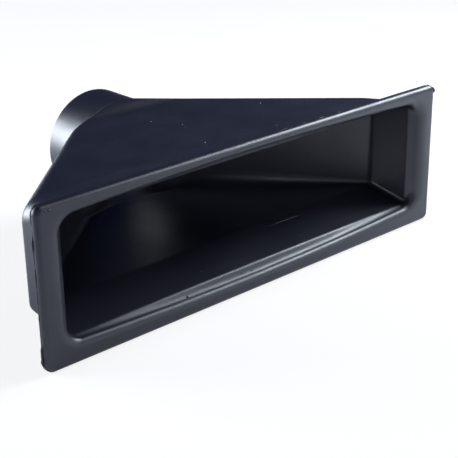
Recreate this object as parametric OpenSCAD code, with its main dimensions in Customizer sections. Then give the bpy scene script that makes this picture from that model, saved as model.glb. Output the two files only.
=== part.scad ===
// Ducted air intake vent, vacuum-formed in one piece of black ABS sheet.
// A rectangular mouth with a turned-back flange narrows through a shallow hopper
// and two slanted walls to a round spigot for a flexible air hose.
// X runs across the mouth, Y goes back from the panel, Z is up. Sizes are in millimetres.
// The origin is at the middle of the flange, on the plane where its rim meets the panel.

/* [Flange] */
// Width of the flange
flange_w = 270; // [262:1:320]
// Height of the flange
flange_h = 82; // [81:0.5:110]
// Corner radius of the flange
flange_corner_r = 4; // [3.5:0.5:12]
// Thickness of the flange face
flange_t = 2.2; // [1.5:0.1:3]
// Depth of the turned-back rim, measured from the front face
rim_depth = 4.4; // [3.6:0.1:8]
// Thickness of the turned-back rim
rim_t = 2; // [1.5:0.1:3]
// Radius of the fold from the flange face to the rim
edge_r = 2.6; // [0.5:0.1:3]

/* [Mouth] */
// Clear width of the mouth where its lip ends
mouth_w = 245.8; // [242:0.2:250]
// Clear height where the lip ends, at the two ends of the mouth
mouth_h = 62; // [61.5:0.1:64]
// How far the long sides of the mouth curve outward at the middle
mouth_bow = 3.4; // [0:0.1:4]
// Corner radius of the mouth
mouth_corner_r = 9; // [5:0.5:14]
// Height of the middle of the mouth above the middle of the flange
mouth_rise = 1.6; // [-2:0.1:3]
// Radius of the rounded lip along the long sides of the mouth
lip_r = 3.8; // [2.4:0.1:4.4]
// Angle that the lip turns through
lip_turn = 68; // [50:1:80]
// How much further the lip reaches in at the two ends of the mouth
lip_end_reach = 3.7; // [0:0.1:4.5]

/* [Shoulder] */
// Depth of the ridge where the hopper starts, measured from the front face
shoulder_depth = 6.2; // [5:0.1:12]
// Clear width inside the ridge
shoulder_w = 238.4; // [232:0.2:241]
// Clear height inside the ridge
shoulder_h = 60.8; // [56:0.2:61]
// Corner radius inside the ridge
shoulder_corner_r = 3; // [2.5:0.5:8]
// Reach of the rounding on each side of the ridge
ridge_reach = 1; // [0.5:0.1:1.8]

/* [Hopper] */
// Depth of the corner where the slanted walls start, measured from the front face
hopper_depth = 33.6; // [26:0.5:50]
// Clear width of the hopper at that corner
hopper_w = 239.4; // [220:0.2:240.4]
// Clear height of the hopper from that corner back
hopper_h = 53; // [46:0.5:55]
// Height of the middle of the hopper above the middle of the flange
hopper_rise = 2.5; // [-1:0.1:5]
// Radius of the two upper lengthwise edges inside the hopper
hopper_top_r = 9; // [4:0.5:12]
// Radius of the two lower lengthwise edges where the slanted walls start
hopper_floor_r = 2.6; // [1:0.2:6]
// Radius of the two lower lengthwise edges where the section starts to round off
throat_floor_r = 11; // [4:0.5:14]
// Reach of the rounding where the end walls turn into the slanted walls
hopper_turn = 2.4; // [1:0.1:5]
// How far ahead of the spigot the section starts to round off
rounding_len = 15; // [12:0.5:40]
// Angle of the slanted walls from the hose axis
slant_angle = 46.2; // [38:0.2:55]
// Wall thickness of the duct
wall = 2; // [1.4:0.1:2.6]

/* [Spigot] */
// Outside diameter of the spigot
spigot_d = 63; // [59:0.5:68]
// Wall thickness of the spigot
spigot_wall = 2; // [1.4:0.1:3]
// Height of the spigot's axis above the middle of the flange
spigot_rise = 3.6; // [1:0.1:5]
// Length of the straight part of the spigot, clear of the slanted walls
spigot_len = 26.4; // [15:0.2:60]

/* [Hidden] */

corner_steps = 8;
side_steps = 8;
lip_steps = 6;
edge_steps = 5;
fillet_steps = 4;
cove_steps = 4;
blend_steps = 4;
throat_steps = 10;
cut_margin = 1;
cove_power = 1.8;
cove_end_power = 1.1;
bore_fn = 96;

mouth_zb = mouth_rise - mouth_h / 2;
mouth_zt = mouth_rise + mouth_h / 2;
shoulder_zb = mouth_rise - shoulder_h / 2;
shoulder_zt = mouth_rise + shoulder_h / 2;
hopper_zb = hopper_rise - hopper_h / 2;
hopper_zt = hopper_rise + hopper_h / 2;

// How far the slanted walls come in for each millimetre of depth
slant = tan(slant_angle);
// The throat ends inside the spigot, as a nearly round section with these shares of its radius
end_half = 0.995;
end_corner = 0.985;
// Share of the throat after which only its width still changes
rounding_share = 0.8;

spigot_r = spigot_d / 2;
bore_r = spigot_r - spigot_wall;
// Depths where the slanted walls reach the spigot, outside and inside
spigot_start = slant_depth(wall, spigot_r);
bore_start = slant_depth(0, bore_r);
spigot_end = spigot_start + spigot_len;
rounding_depth = spigot_start - rounding_len;
// How far the lip reaches in and back where it ends
lip_in = lip_r * sin(lip_turn);
lip_back = lip_r * (1 - cos(lip_turn));
// Radius behind the flange, where the sheet bends round the lip
back_fillet = max(0.2, lip_r - flange_t);

// A station across the duct is [depth, half width, bottom, top, lower radius, upper radius, bow],
// and grow is the distance outward from the inner face of the wall
function station(depth, half, zb, zt, floor_r, top_r, bow, grow) =
    [depth, half + grow, zb - grow, zt + grow, floor_r + grow, top_r + grow, bow];
function mouth_station(grow, depth) =
    station(depth, mouth_w / 2, mouth_zb, mouth_zt, mouth_corner_r, mouth_corner_r, mouth_bow, grow);
function shoulder_station(grow, depth) =
    station(depth, shoulder_w / 2, shoulder_zb, shoulder_zt, shoulder_corner_r, shoulder_corner_r, 0, grow);
function corner_station(grow, depth) =
    station(depth, hopper_w / 2, hopper_zb, hopper_zt, hopper_floor_r, hopper_top_r, 0, grow);

// Half width between the slanted walls at a depth, and the depth at a half width
function slant_half(grow, depth) =
    hopper_w / 2 - (depth - hopper_depth) * slant + grow / cos(slant_angle);
function slant_depth(grow, half) =
    hopper_depth + (hopper_w / 2 + grow / cos(slant_angle) - half) / slant;

// Stations of the throat, where the section rounds off until it lies inside the spigot
function throat_station(t, grow, limit_r) =
    let (
        u = ease(min(1, t / rounding_share)),
        half = mix(slant_half(grow, rounding_depth), limit_r * end_half, t),
        half_h = mix(hopper_h / 2 + grow, limit_r * end_half, u),
        mid = mix(hopper_rise, spigot_rise, u),
        floor_r = mix(throat_floor_r + grow, limit_r * end_corner, u),
        top_r = mix(hopper_top_r + grow, limit_r * end_corner, u))
    [slant_depth(grow, half), half, mid - half_h, mid + half_h, floor_r, top_r, 0];

// Stations of the cove between the lip and the ridge. Along the long sides it starts level
// and ends steep, and at the two ends it slopes evenly
function cove_station(lip_end, ridge, t) =
    concat(
        [mix(lip_end[0], ridge[0], t), mix(lip_end[1], ridge[1], pow(t, cove_end_power))],
        [for (k = [2:6]) mix(lip_end[k], ridge[k], pow(t, cove_power))]);

function mix(a, b, t) = a + (b - a) * t;
function ease(t) = t * t * (3 - 2 * t);
// Stations that round the turn at b between the runs from a and to c, starting at reach from b
function toward(b, a, reach) = mix(b, a, reach / norm([b[0] - a[0], b[1] - a[1]]));
function turn(a, b, c, reach) =
    let (p = toward(b, a, reach), q = toward(b, c, reach))
    [for (i = [0:blend_steps]) let (t = i / blend_steps) mix(mix(p, b, t), mix(b, q, t), t)];

// Stations from the end of the lip to the inside of the spigot, for one face of the wall
function duct_stations(grow, limit_r) =
    let (
        lip_end = mouth_station(grow, lip_back),
        ridge = shoulder_station(grow, shoulder_depth + grow / 2),
        corner = corner_station(grow, hopper_depth + grow * tan(slant_angle / 2)),
        cove = [for (i = [0:cove_steps]) cove_station(lip_end, ridge, i / (cove_steps + 2))],
        throat = [for (i = [0:throat_steps]) throat_station(i / throat_steps, grow, limit_r)])
    concat(
        cove,
        turn(cove[cove_steps], ridge, corner, ridge_reach),
        turn(ridge, corner, throat[0], hopper_turn),
        throat);

// Station of the lip after it has turned by an angle, moved forward by ahead
function lip_station(a, ahead) =
    let (s = mouth_station(lip_in - lip_r * sin(a), lip_r * (1 - cos(a)) - ahead))
    [for (k = [0:6]) k == 1 ? s[k] + lip_end_reach * (1 - sin(a) / sin(lip_turn)) : s[k]];
// Station of the rounding behind the flange
function back_station(depth, a) =
    mouth_station(wall + back_fillet * (1 - sin(a)), depth + back_fillet * (1 - cos(a)));

function void_stations() =
    concat(
        [lip_station(0, cut_margin)],
        [for (i = [0:lip_steps - 1]) lip_station(lip_turn * i / lip_steps, 0)],
        duct_stations(0, bore_r));

function body_stations() =
    concat(
        [back_station(flange_t / 2, 90 / fillet_steps)],
        [for (i = [1:fillet_steps - 1]) back_station(flange_t, 90 * i / fillet_steps)],
        [for (s = duct_stations(wall, spigot_r)) if (s[0] > flange_t + back_fillet) s]);

// A closed ring of points: a rounded rectangle whose long sides may bow outward
function bow_share(x, half) = max(0, 1 - pow(x / half, 2));
function arc(cx, cz, r, from) =
    [for (i = [0:corner_steps]) let (a = from + 90 * i / corner_steps) [cx + r * cos(a), cz + r * sin(a)]];
function side(x0, x1, z) = [for (i = [1:side_steps - 1]) [mix(x0, x1, i / side_steps), z]];
function bowed(points, rise, half) = [for (p = points) [p[0], p[1] + rise * bow_share(p[0], half)]];
function outline(half, zb, zt, floor_r, top_r, bow) =
    let (
        xt = half - top_r, xb = half - floor_r,
        top = concat(arc(xt, zt - top_r, top_r, 0), side(xt, -xt, zt), arc(-xt, zt - top_r, top_r, 90)),
        low = concat(arc(-xb, zb + floor_r, floor_r, 180), side(-xb, xb, zb), arc(xb, zb + floor_r, floor_r, 270)))
    concat(bowed(top, bow, half), bowed(low, -bow, half));
function placed(points, depth) = [for (p = points) [p[0], depth - rim_depth, p[1]]];

// A solid skinned over rings that have as many points each
module skin(rings) {
    count = len(rings[0]);
    last = len(rings) - 1;
    walls = [
        for (k = [0:last - 1], i = [0:count - 1])
        let (j = (i + 1) % count, a = k * count, b = a + count)
        each [[a + i, a + j, b + j], [a + i, b + j, b + i]]];
    front = [for (i = [count - 1:-1:0]) i];
    back = [for (i = [0:count - 1]) last * count + i];
    polyhedron([for (r = rings) each r], concat(walls, [front, back]));
}

module loft(stations) {
    skin([for (s = stations) placed(outline(s[1], s[2], s[3], s[4], s[5], s[6]), s[0])]);
}

module plate(points, from, to) {
    translate([0, to - rim_depth, 0]) rotate([90, 0, 0]) linear_extrude(to - from) polygon(points);
}

module round_bar(r, from, to) {
    translate([0, from - rim_depth, spigot_rise]) rotate([-90, 0, 0])
        cylinder(h = to - from, r = r, $fn = bore_fn);
}

function flange_outline(inset) =
    outline(flange_w / 2 - inset, -flange_h / 2 + inset, flange_h / 2 - inset,
        flange_corner_r - inset, flange_corner_r - inset, 0);

// Face plate folded over into the turned-back rim, hollow behind
module flange() {
    difference() {
        union() {
            skin([for (i = [0:edge_steps]) let (a = 90 * i / edge_steps)
                placed(flange_outline(edge_r * (1 - sin(a))), edge_r * (1 - cos(a)))]);
            plate(flange_outline(0), edge_r, rim_depth);
        }
        plate(flange_outline(rim_t), flange_t, rim_depth + cut_margin);
    }
}

// Outside of the duct, solid
module duct_outside() {
    loft(body_stations());
    round_bar(spigot_r, spigot_start, spigot_end);
}

// Air passage through the duct
module air_passage() {
    loft(void_stations());
    round_bar(bore_r, bore_start, spigot_end + cut_margin);
}

module intake_vent() {
    color([0.12, 0.12, 0.13])
    difference() {
        union() {
            flange();
            duct_outside();
        }
        air_passage();
    }
}

intake_vent();
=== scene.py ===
"""Ducted air intake vent: black ABS sheet, vacuum-formed in one piece.

Run as a script, it dresses the modelled duct, lays out a pale studio floor with soft
lamps and sets the camera. Lengths here are in metres unless a name or a comment says mm.
"""

import math

import bmesh
import bpy
from mathutils import Euler, Matrix, Vector, noise
from mathutils.bvhtree import BVHTree


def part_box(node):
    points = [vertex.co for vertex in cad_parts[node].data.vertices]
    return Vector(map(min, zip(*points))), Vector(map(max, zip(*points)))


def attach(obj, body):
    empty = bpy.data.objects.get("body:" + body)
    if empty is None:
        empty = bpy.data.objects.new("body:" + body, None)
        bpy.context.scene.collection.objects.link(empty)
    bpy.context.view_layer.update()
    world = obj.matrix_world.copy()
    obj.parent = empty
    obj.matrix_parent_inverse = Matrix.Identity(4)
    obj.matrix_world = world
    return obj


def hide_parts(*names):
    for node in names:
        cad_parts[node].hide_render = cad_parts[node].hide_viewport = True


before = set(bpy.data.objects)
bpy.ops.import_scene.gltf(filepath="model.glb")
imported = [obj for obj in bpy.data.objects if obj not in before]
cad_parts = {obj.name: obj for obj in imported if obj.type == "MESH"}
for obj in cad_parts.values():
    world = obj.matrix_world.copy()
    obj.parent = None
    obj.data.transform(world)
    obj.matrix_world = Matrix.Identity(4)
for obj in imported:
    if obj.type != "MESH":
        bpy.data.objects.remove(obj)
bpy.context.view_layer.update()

bl_info = {
    "name": "Ducted air intake vent",
    "version": (1, 0, 0),
    "blender": (4, 5, 0),
    "location": "View3D > Sidebar > Intake Vent",
    "description": "Dresses a one-piece moulded air intake duct and its studio",
    "category": "Object",
}

NODE = "intake_vent"
BODY = "root"
MM = 0.001
LOW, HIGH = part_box(NODE)

# The camera of the photo: place in mm, rotation in degrees, lens for the sensor's width
PHOTO_PIXELS = 458
CAMERA_PLACE = (-373.62, -396.68, 224.41)
CAMERA_TURN = (66.752, 0.732, -42.035)
CAMERA_LENS = 90.01
SENSOR = 36.0
HALF_PIXEL = 0.5 / PHOTO_PIXELS

# The rim's outline in mm: half its width and height, its corner radius, and steps round a corner
RIM_HALF_W = 135.0
RIM_HALF_H = 41.0
RIM_CORNER = 4.0
RIM_CORNER_STEPS = 4

# Names of the materials that more than one piece wears
SHEET = "black_abs_formed_sheet"
DUST = "plastic_dust"


def mm(*values):
    """A vector in metres from millimetres."""
    return Vector(v * MM for v in values)


def linear(hex_colour):
    """An sRGB hex colour as linear RGBA."""
    channels = [int(hex_colour[i:i + 2], 16) / 255 for i in (1, 3, 5)]
    return [c / 12.92 if c <= 0.04045 else ((c + 0.055) / 1.055) ** 2.4 for c in channels] + [1.0]


def add_node(tree, kind, settings=None, **sockets):
    """Adds one node. A socket's value is a number, a colour or another node's output socket."""
    node = tree.nodes.new(kind)
    for name, value in (settings or {}).items():
        setattr(node, name, value)
    for name, value in sockets.items():
        socket = node.inputs[int(name[1:])] if name[0] == "i" and name[1:].isdigit() else node.inputs[
            name.replace("_", " ")]
        if isinstance(value, bpy.types.NodeSocket):
            tree.links.new(value, socket)
        else:
            socket.default_value = value
    return node


def new_material(name):
    """An empty node material and its output node."""
    material = bpy.data.materials.new(name)
    material.use_nodes = True
    material.node_tree.nodes.clear()
    output = add_node(material.node_tree, "ShaderNodeOutputMaterial")
    return material, material.node_tree, output


def link_surface(tree, shader, output):
    """Links a shader to the surface of a material or a world."""
    tree.links.new(shader.outputs[0], output.inputs["Surface"])


def black_abs(colours, finish):
    """Black ABS, drawn over a mould as a hot sheet: an even semi-gloss skin with a faint
    orange peel, slight waves where the sheet stretched, and a little handling dust."""
    material, tree, output = new_material(SHEET)
    place = add_node(tree, "ShaderNodeTexCoord").outputs["Object"]

    # Cloudy change of tone, patches about 40 mm across
    cloud = add_node(tree, "ShaderNodeTexNoise", Vector=place, Scale=1 / (40 * MM), Detail=3.0)
    tone = add_node(
        tree, "ShaderNodeMix", {"data_type": "RGBA"}, i0=cloud.outputs["Fac"],
        i6=linear(colours.sheet), i7=linear(colours.sheet_light))

    # Dust grains, about one in each 9 mm cell and 0.3 mm across
    dust = add_node(
        tree, "ShaderNodeTexVoronoi", {"feature": "F1"}, Vector=place, Scale=1 / (9 * MM), Randomness=1.0)
    grain = add_node(
        tree, "ShaderNodeMapRange", Value=dust.outputs["Distance"], From_Min=0.018, From_Max=0.034,
        To_Min=1.0, To_Max=0.0)
    # Only some cells hold a grain that shows
    chance = add_node(tree, "ShaderNodeSeparateColor", Color=dust.outputs["Color"])
    shows = add_node(tree, "ShaderNodeMath", {"operation": "GREATER_THAN"}, i0=chance.outputs[0], i1=0.86)
    speck = add_node(
        tree, "ShaderNodeMath", {"operation": "MULTIPLY"}, i0=grain.outputs[0], i1=shows.outputs[0])
    colour = add_node(
        tree, "ShaderNodeMix", {"data_type": "RGBA"}, i0=speck.outputs[0], i6=tone.outputs[2],
        i7=linear(colours.dust))

    # Gloss: rubbed duller in soft patches about 25 mm across
    rub = add_node(tree, "ShaderNodeTexNoise", Vector=place, Scale=1 / (25 * MM), Detail=4.0, Roughness=0.6)
    rough = add_node(
        tree, "ShaderNodeMapRange", Value=rub.outputs["Fac"], From_Min=0.3, From_Max=0.7,
        To_Min=finish.roughness - 0.04, To_Max=finish.roughness + 0.05)

    # Orange peel about 1.2 mm apart over waves about 30 mm long
    peel = add_node(tree, "ShaderNodeTexNoise", Vector=place, Scale=1 / (1.2 * MM), Detail=2.0)
    wave = add_node(tree, "ShaderNodeTexNoise", Vector=place, Scale=1 / (30 * MM), Detail=1.0)
    wavy = add_node(
        tree, "ShaderNodeBump", Strength=finish.wave, Distance=0.6 * MM, Height=wave.outputs["Fac"])
    skin = add_node(
        tree, "ShaderNodeBump", Strength=finish.peel, Distance=0.02 * MM, Height=peel.outputs["Fac"],
        Normal=wavy.outputs[0])

    shader = add_node(
        tree, "ShaderNodeBsdfPrincipled", Base_Color=colour.outputs[2], Roughness=rough.outputs[0],
        IOR=1.53, Normal=skin.outputs[0])
    link_surface(tree, shader, output)
    return material


def plastic_dust(colours):
    """Ground plastic: swarf and dust, matt and paler than the sheet."""
    material, tree, output = new_material(DUST)
    shader = add_node(
        tree, "ShaderNodeBsdfPrincipled", Base_Color=linear(colours.dust), Roughness=0.8, IOR=1.53)
    link_surface(tree, shader, output)
    return material


def worn(name, scene):
    """One of the shared materials, made when the first piece needs it."""
    if name in bpy.data.materials:
        return bpy.data.materials[name]
    if name == SHEET:
        return black_abs(scene.vent_colours, scene.vent_finish)
    return plastic_dust(scene.vent_colours)


def studio_paper(colours):
    """Matt white paper floor. The camera sees it as plain white with the object's shadow on it."""
    white_strength = 1.05
    # Most of what the camera sees is even white, and the rest takes the shadow
    even_share = 0.8
    material, tree, output = new_material("studio_paper")
    paper = add_node(tree, "ShaderNodeBsdfDiffuse", Color=linear(colours.floor))
    glow = add_node(tree, "ShaderNodeEmission", Color=linear(colours.floor), Strength=white_strength)
    path = add_node(tree, "ShaderNodeLightPath")
    share = add_node(
        tree, "ShaderNodeMath", {"operation": "MULTIPLY"}, i0=path.outputs["Is Camera Ray"],
        i1=even_share)
    mixed = add_node(
        tree, "ShaderNodeMixShader", i0=share.outputs[0], i1=paper.outputs[0], i2=glow.outputs[0])
    link_surface(tree, mixed, output)
    return material


def finished_piece(name, work, material):
    """Turns a bmesh into a piece that rides on the duct's body."""
    mesh = bpy.data.meshes.new(name)
    work.to_mesh(mesh)
    work.free()
    piece = bpy.data.objects.new(name, mesh)
    bpy.context.scene.collection.objects.link(piece)
    piece.data.materials.append(material)
    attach(piece, BODY)
    return piece


def duct_surface():
    """The duct's surface, for setting small things down on it."""
    work = bmesh.new()
    work.from_mesh(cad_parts[NODE].data)
    tree = BVHTree.FromBMesh(work)
    work.free()
    return tree


def seen_at(surface, column, row):
    """The point of the duct that the photo shows at a pixel, and the surface's normal there."""
    turn = Euler([math.radians(a) for a in CAMERA_TURN]).to_matrix()
    across = (column / PHOTO_PIXELS - 0.5) * SENSOR / CAMERA_LENS
    up = (0.5 - row / PHOTO_PIXELS) * SENSOR / CAMERA_LENS
    sight = turn @ Vector((across, up, -1.0))
    point, normal, _, _ = surface.ray_cast(mm(*CAMERA_PLACE), sight.normalized())
    return point, normal


def add_grain(work, point, normal, width, height):
    """A low rounded grain, a half ball pressed flat, with its middle on the surface."""
    facing = normal.to_track_quat("Z", "Y").to_matrix().to_4x4()
    squash = Matrix.Diagonal((width / 2, width / 2, height, 1.0))
    bmesh.ops.create_icosphere(
        work, subdivisions=2, radius=1.0, matrix=Matrix.Translation(point) @ facing @ squash)


def rim_outline(step):
    """Points round the rim's outline, in mm, each with its outward direction, seen from the front."""
    inner_w, inner_h = RIM_HALF_W - RIM_CORNER, RIM_HALF_H - RIM_CORNER
    # Middle of each corner's arc, and the angle at which the arc begins
    corners = [
        (inner_w, inner_h, 0),
        (-inner_w, inner_h, 90),
        (-inner_w, -inner_h, 180),
        (inner_w, -inner_h, 270),
    ]
    outline = []
    for turn, (x, z, start) in enumerate(corners):
        for part in range(RIM_CORNER_STEPS + 1):
            angle = math.radians(start + 90 * part / RIM_CORNER_STEPS)
            out = Vector((math.cos(angle), 0, math.sin(angle)))
            outline.append((Vector((x, 0, z)) + out * RIM_CORNER, out))
        next_x, next_z, _ = corners[(turn + 1) % len(corners)]
        begin, out = outline[-1]
        end = Vector((next_x, 0, next_z)) + out * RIM_CORNER
        count = max(2, round((end - begin).length / step))
        for part in range(1, count):
            outline.append((begin.lerp(end, part / count), out))
    return outline


class VentColours(bpy.types.PropertyGroup):
    """Colours, as sRGB hex."""
    sheet: bpy.props.StringProperty(
        name="Sheet", description="Colour of the black sheet", default="#151620")
    sheet_light: bpy.props.StringProperty(
        name="Sheet, stretched", description="Colour where the sheet is paler", default="#1b1c26")
    dust: bpy.props.StringProperty(
        name="Dust", description="Colour of a grain of dust", default="#8c8f98")
    floor: bpy.props.StringProperty(
        name="Floor", description="Colour of the studio floor", default="#fafafa")
    lamp: bpy.props.StringProperty(
        name="Lamps", description="Colour of the lamps' light, slightly cool", default="#ecf4ff")
    backdrop: bpy.props.StringProperty(
        name="Backdrop", description="Colour behind the floor", default="#ffffff")
    room: bpy.props.StringProperty(
        name="Room", description="Colour of the dim room round the floor", default="#182142")


class VentFinish(bpy.types.PropertyGroup):
    """Gloss and unevenness of the sheet."""
    roughness: bpy.props.FloatProperty(
        name="Roughness", description="Roughness of the skin", default=0.4, min=0.05, max=1.0)
    peel: bpy.props.FloatProperty(
        name="Orange peel", description="Strength of the fine unevenness", default=0.35, min=0.0, max=1.0)
    wave: bpy.props.FloatProperty(
        name="Waves", description="Strength of the broad waves", default=0.12, min=0.0, max=1.0)


class VentSizes(bpy.types.PropertyGroup):
    """Sizes of the small things on the duct, and of the studio."""
    smooth_angle: bpy.props.FloatProperty(
        name="Smooth up to", description="Edges that turn less than this are shaded smooth",
        default=math.radians(32), subtype="ANGLE")
    burr: bpy.props.FloatProperty(
        name="Burr", description="Usual radius of the cut edge's burr", default=0.42 * MM, unit="LENGTH")
    floor_size: bpy.props.FloatProperty(
        name="Floor", description="Width of the studio floor", default=12.0, unit="LENGTH")


class INTAKEVENT_OT_duct(bpy.types.Operator):
    """Makes the moulded duct from the modelled one, smooth over its rounded edges"""
    bl_idname = "intakevent.duct"
    bl_label = "Moulded duct"

    def execute(self, context):
        scene = context.scene
        work = bmesh.new()
        work.from_mesh(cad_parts[NODE].data)
        bmesh.ops.remove_doubles(work, verts=work.verts, dist=0.002 * MM)
        bmesh.ops.dissolve_degenerate(work, dist=0.002 * MM, edges=work.edges)
        for face in work.faces:
            face.smooth = True
        for edge in work.edges:
            if len(edge.link_faces) == 2 and edge.calc_face_angle(0.0) > scene.vent_sizes.smooth_angle:
                edge.smooth = False
        duct = finished_piece("moulded_duct", work, worn(SHEET, scene))
        weighted = duct.modifiers.new("Even shading", "WEIGHTED_NORMAL")
        weighted.keep_sharp = True
        weighted.weight = 100
        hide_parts(NODE)
        return {"FINISHED"}


class INTAKEVENT_OT_trimmed_edge(bpy.types.Operator):
    """Adds the uneven burr that the knife left where the sheet was cut off behind the rim"""
    bl_idname = "intakevent.trimmed_edge"
    bl_label = "Trimmed edge"

    STEP = 1.6
    SIDES = 8
    # Wander of the cut: waves and finer teeth, as lengths in mm and the teeth's share
    WAVE_LENGTH = 7.0
    TOOTH_LENGTH = 2.3
    TOOTH_SHARE = 0.6
    # The upright sides were trimmed by hand and wander in full, the long ones by this share
    LONG_SIDE_SHARE = 0.25
    # How far in from the rim's face the burr's middle lies on an upright side, how much more on a
    # long side, and how far forward of the rim's back edge, in mm
    SUNK = 0.15
    LONG_SIDE_SUNK = 0.25
    FORWARD = 0.6
    # Thicker lumps of the burr in the photo: place on the rim, reach along it, size, and how
    # far forward they lie over the fold, in mm
    LUMPS = [
        ((136, 37.5), 2.4, 1.7, 2.6), ((136, 33.0), 1.8, 1.3, 2.6), ((130, 41), 3.0, 0.6, 1.2),
        ((-136, -30.0), 2.2, 0.6, 0.0), ((-136, -35.5), 2.4, 0.9, 0.0), ((-131, -41), 2.0, 0.5, 0.0),
        ((-136, 6.0), 5.0, 0.3, 0.0), ((-136, 24.0), 4.0, 0.3, 0.0),
    ]

    def execute(self, context):
        sizes = context.scene.vent_sizes
        work = bmesh.new()
        rings = []
        for place, out in rim_outline(self.STEP):
            lump = forward = 0.0
            for (x, z), reach, size, over in self.LUMPS:
                away = (place - Vector((x, 0, z))).length / reach
                lump += size * math.exp(-away * away)
                forward = max(forward, over * math.exp(-away * away))
            teeth = noise.noise(place / self.TOOTH_LENGTH + Vector((0, 5, 0)))
            ragged = noise.noise(place / self.WAVE_LENGTH) + self.TOOTH_SHARE * teeth
            ragged *= self.LONG_SIDE_SHARE + (1 - self.LONG_SIDE_SHARE) * abs(out.x)
            radius = sizes.burr / MM * (1 + 0.45 * ragged) + 0.45 * lump
            sunk = self.SUNK + self.LONG_SIDE_SUNK * abs(out.z)
            middle = place + out * (0.4 * ragged + 0.65 * lump - sunk)
            middle.y -= self.FORWARD + forward
            rings.append(self.add_ring(work, middle, out, radius))
        for here, there in zip(rings, rings[1:] + rings[:1]):
            for side in range(self.SIDES):
                after = (side + 1) % self.SIDES
                work.faces.new((here[side], there[side], there[after], here[after])).smooth = True
        bmesh.ops.recalc_face_normals(work, faces=work.faces)
        finished_piece("trimmed_edge", work, worn(SHEET, context.scene))
        return {"FINISHED"}

    def add_ring(self, work, middle, out, radius):
        ring = []
        for side in range(self.SIDES):
            angle = math.tau * side / self.SIDES
            point = middle + out * (radius * math.cos(angle)) + Vector((0, radius * math.sin(angle), 0))
            ring.append(work.verts.new(point * MM))
        return ring


class INTAKEVENT_OT_grains(bpy.types.Operator):
    """Sets the pips that formed under the hot sheet, and grains of dust, where the photo shows them"""
    bl_idname = "intakevent.grains"
    bl_label = "Pips and dust"

    # Pixel of the photo by column and row, then width and height in mm
    PIPS = [
        (187, 296, 1.5, 0.42), (184, 294, 0.7, 0.2), (241, 273, 1.1, 0.34), (244, 272, 0.7, 0.2),
        (251, 270, 1.2, 0.34), (168, 281, 0.9, 0.3), (201, 270, 0.8, 0.3), (241, 257, 0.8, 0.28),
        (331, 236, 0.9, 0.25), (207, 304, 0.9, 0.3), (226, 297, 0.8, 0.3), (48, 210, 1.1, 0.4),
        (44, 211, 0.7, 0.3),
    ]
    # Pixel of the photo by column and row, then width in mm
    GRAINS = [
        (260, 103, 0.8), (205, 142, 0.7), (182, 124, 0.6), (185, 126, 0.4), (150, 121, 0.5),
        (276, 125, 0.6), (107, 205, 0.8), (109, 206, 0.5), (201, 271, 0.4), (300, 235, 0.5),
        (330, 238, 0.5),
    ]

    # Height of a grain of dust as a share of its width
    GRAIN_HEIGHT = 0.4

    def execute(self, context):
        scene = context.scene
        surface = duct_surface()
        pips = bmesh.new()
        for column, row, width, height in self.PIPS:
            point, normal = seen_at(surface, column, row)
            add_grain(pips, point, normal, width * MM, height * MM)
        dust = bmesh.new()
        for column, row, width in self.GRAINS:
            point, normal = seen_at(surface, column, row)
            add_grain(dust, point, normal, width * MM, self.GRAIN_HEIGHT * width * MM)
        for work in (pips, dust):
            for face in work.faces:
                face.smooth = True
        finished_piece("moulded_pips", pips, worn(SHEET, scene))
        finished_piece("dust_grains", dust, worn(DUST, scene))
        return {"FINISHED"}


class INTAKEVENT_OT_scratch(bpy.types.Operator):
    """Draws the long faint scratch across the duct's floor"""
    bl_idname = "intakevent.scratch"
    bl_label = "Scratch"

    # Ends as pixels of the photo, and how far it wavers between them, in pixels
    START = (268, 226)
    END = (302, 213)
    WAVER = 0.5
    STEPS = 24
    # Half the burr's width at its middle, in mm, its height as a share of that, and where it thins
    HALF_WIDTH = 0.11
    CREST = 0.8
    THIN_END = 0.04

    def execute(self, context):
        surface = duct_surface()
        work = bmesh.new()
        rows = []
        for step in range(self.STEPS + 1):
            share = step / self.STEPS
            column = self.START[0] + (self.END[0] - self.START[0]) * share
            row = self.START[1] + (self.END[1] - self.START[1]) * share
            row += self.WAVER * noise.noise(Vector((4 * share, 0, 0)))
            point, normal = seen_at(surface, column, row)
            # A burr with a sharp crest, thinning out toward both ends
            inside = min(max(share, self.THIN_END), 1 - self.THIN_END)
            half = self.HALF_WIDTH * MM * math.sin(math.pi * inside)
            across = normal.cross(Vector((1, 0.2, 0))).normalized() * half
            crest = point + normal * half * self.CREST
            rows.append([work.verts.new(place) for place in (point - across, crest, point + across)])
        for here, there in zip(rows, rows[1:]):
            for side in (0, 1):
                work.faces.new((here[side], there[side], there[side + 1], here[side + 1]))
        bmesh.ops.recalc_face_normals(work, faces=work.faces)
        finished_piece("floor_scratch", work, worn(DUST, context.scene))
        return {"FINISHED"}


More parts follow.
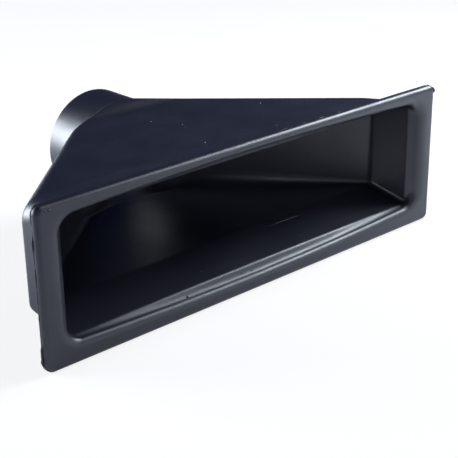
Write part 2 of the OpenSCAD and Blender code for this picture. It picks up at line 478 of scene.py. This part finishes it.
class INTAKEVENT_OT_studio(bpy.types.Operator):
    """Lays out the floor, the soft lamps and the camera"""
    bl_idname = "intakevent.studio"
    bl_label = "Studio"

    # Soft lamps, all facing the duct: name, place in mm, width and height in mm, power in watts
    LAMPS = [
        # The bright lines along the lip and the ridge
        ("key_softbox", (530, -80, 430), 300, 280, 7.0),
        # The dimmer glow beside those lines
        ("key_spill", (760, -330, 520), 620, 620, 2.0),
        # The flange's face and the ledge
        ("front_card", (620, -900, 160), 1000, 560, 3.0),
        # The spigot's side and the duct's left end
        ("back_left_softbox", (-870, 1170, 260), 1100, 600, 44.0),
        ("back_high_softbox", (-480, 620, 260), 220, 220, 1.0),
        # The inside of the hopper
        ("camera_softbox", (-720, -780, 560), 240, 240, 1.3),
    ]

    def execute(self, context):
        self.make_camera(context.scene)
        self.make_floor(context.scene)
        for lamp in self.LAMPS:
            self.make_lamp(context.scene, *lamp)
        self.make_world(context.scene)
        context.scene.view_settings.view_transform = "Standard"
        return {"FINISHED"}

    def make_camera(self, scene):
        camera = bpy.data.cameras.new("photo_camera")
        camera.lens = CAMERA_LENS
        camera.sensor_width = SENSOR
        camera.sensor_fit = "HORIZONTAL"
        camera.shift_x = -HALF_PIXEL
        camera.shift_y = HALF_PIXEL
        camera.clip_start = 0.01
        holder = bpy.data.objects.new("photo_camera", camera)
        holder.location = mm(*CAMERA_PLACE)
        holder.rotation_euler = Euler([math.radians(a) for a in CAMERA_TURN])
        scene.collection.objects.link(holder)
        scene.camera = holder

    def make_floor(self, scene):
        work = bmesh.new()
        bmesh.ops.create_grid(work, x_segments=1, y_segments=1, size=scene.vent_sizes.floor_size / 2)
        bmesh.ops.translate(work, verts=work.verts, vec=(0, 0, LOW.z))
        mesh = bpy.data.meshes.new("studio_floor")
        work.to_mesh(mesh)
        work.free()
        floor = bpy.data.objects.new("studio_floor", mesh)
        floor.data.materials.append(studio_paper(scene.vent_colours))
        scene.collection.objects.link(floor)

    def make_lamp(self, scene, name, place, width, height, power):
        lamp = bpy.data.lights.new(name, "AREA")
        lamp.shape = "RECTANGLE"
        lamp.size = width * MM
        lamp.size_y = height * MM
        lamp.energy = power
        lamp.color = linear(scene.vent_colours.lamp)[:3]
        holder = bpy.data.objects.new(name, lamp)
        holder.location = mm(*place)
        aim = -Vector(holder.location)
        holder.rotation_euler = aim.to_track_quat("-Z", "Y").to_euler()
        scene.collection.objects.link(holder)

    def make_world(self, scene):
        world = bpy.data.worlds.new("studio_room")
        world.use_nodes = True
        tree = world.node_tree
        tree.nodes.clear()
        room = add_node(tree, "ShaderNodeBackground", Color=linear(scene.vent_colours.room), Strength=1.0)
        # Past the floor's edge the camera sees plain white, and only reflections see the room
        backdrop = add_node(
            tree, "ShaderNodeBackground", Color=linear(scene.vent_colours.backdrop), Strength=1.0)
        path = add_node(tree, "ShaderNodeLightPath")
        seen = add_node(
            tree, "ShaderNodeMixShader", i0=path.outputs["Is Camera Ray"], i1=room.outputs[0],
            i2=backdrop.outputs[0])
        output = add_node(tree, "ShaderNodeOutputWorld")
        link_surface(tree, seen, output)
        scene.world = world


class INTAKEVENT_PT_panel(bpy.types.Panel):
    """The duct's pieces, colours and sizes"""
    bl_idname = "INTAKEVENT_PT_panel"
    bl_label = "Intake Vent"
    bl_space_type = "VIEW_3D"
    bl_region_type = "UI"
    bl_category = "Intake Vent"

    def draw(self, context):
        layout = self.layout
        for operator in OPERATORS:
            layout.operator(operator.bl_idname)
        for group in (context.scene.vent_colours, context.scene.vent_finish, context.scene.vent_sizes):
            box = layout.box()
            for name in group.__annotations__:
                box.prop(group, name)


GROUPS = {"vent_colours": VentColours, "vent_finish": VentFinish, "vent_sizes": VentSizes}
OPERATORS = (
    INTAKEVENT_OT_duct,
    INTAKEVENT_OT_trimmed_edge,
    INTAKEVENT_OT_grains,
    INTAKEVENT_OT_scratch,
    INTAKEVENT_OT_studio,
)


def register():
    for name, group in GROUPS.items():
        bpy.utils.register_class(group)
        setattr(bpy.types.Scene, name, bpy.props.PointerProperty(type=group))
    for item in OPERATORS + (INTAKEVENT_PT_panel,):
        bpy.utils.register_class(item)


def unregister():
    for item in reversed(OPERATORS + (INTAKEVENT_PT_panel,)):
        bpy.utils.unregister_class(item)
    for name, group in reversed(GROUPS.items()):
        delattr(bpy.types.Scene, name)
        bpy.utils.unregister_class(group)


def main():
    register()
    bpy.ops.intakevent.duct()
    bpy.ops.intakevent.trimmed_edge()
    bpy.ops.intakevent.grains()
    bpy.ops.intakevent.scratch()
    bpy.ops.intakevent.studio()


if __name__ == "__main__":
    main()
